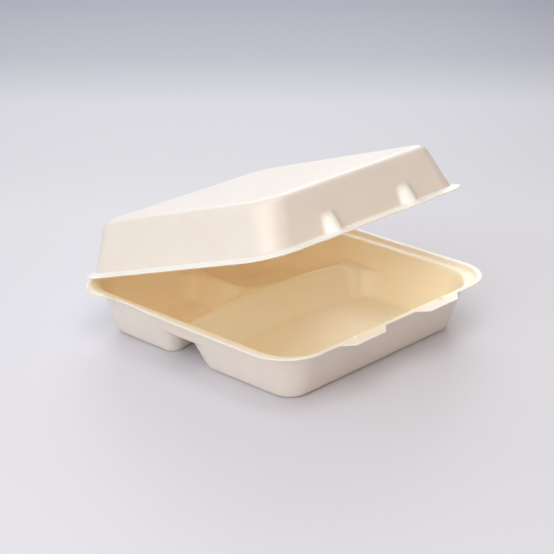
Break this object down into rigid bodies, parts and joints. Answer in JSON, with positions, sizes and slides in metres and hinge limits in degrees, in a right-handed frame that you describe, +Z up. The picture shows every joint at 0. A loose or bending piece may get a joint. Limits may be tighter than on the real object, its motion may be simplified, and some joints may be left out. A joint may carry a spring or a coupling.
{
  "type": "hinged compartment food container",
  "caption": "Ivory clamshell food box pressed from thin plant-based sheet, with large and small compartments, a drafted lid on a fold hinge and front locking tabs.",
  "frame": {"origin": "On the table under the middle of the tray, half-way between the fold and the front edge of the rim, its tabs left aside.", "axes": "X along the front edge, Y from the front edge towards the fold, Z up out of the tray. The lid stands open at nineteen degrees."},
  "size_m": [0.23, 0.2334, 0.1385],
  "materials": {
    "tray_sheet": "satin pressed starch sheet, ivory",
    "lid_sheet": "satin pressed starch sheet, ivory"
  },
  "bodies": {
    "tray": {"tray": "tray_sheet"},
    "lid": {"lid": "lid_sheet"}
  },
  "joints": [
    {"name": "lid_fold", "type": "hinge", "parent": "tray", "child": "lid", "pos_m": [0, 0.113, 0.0385], "axis": [-1, 0, 0], "range_deg": [-19, 161]}
  ]
}
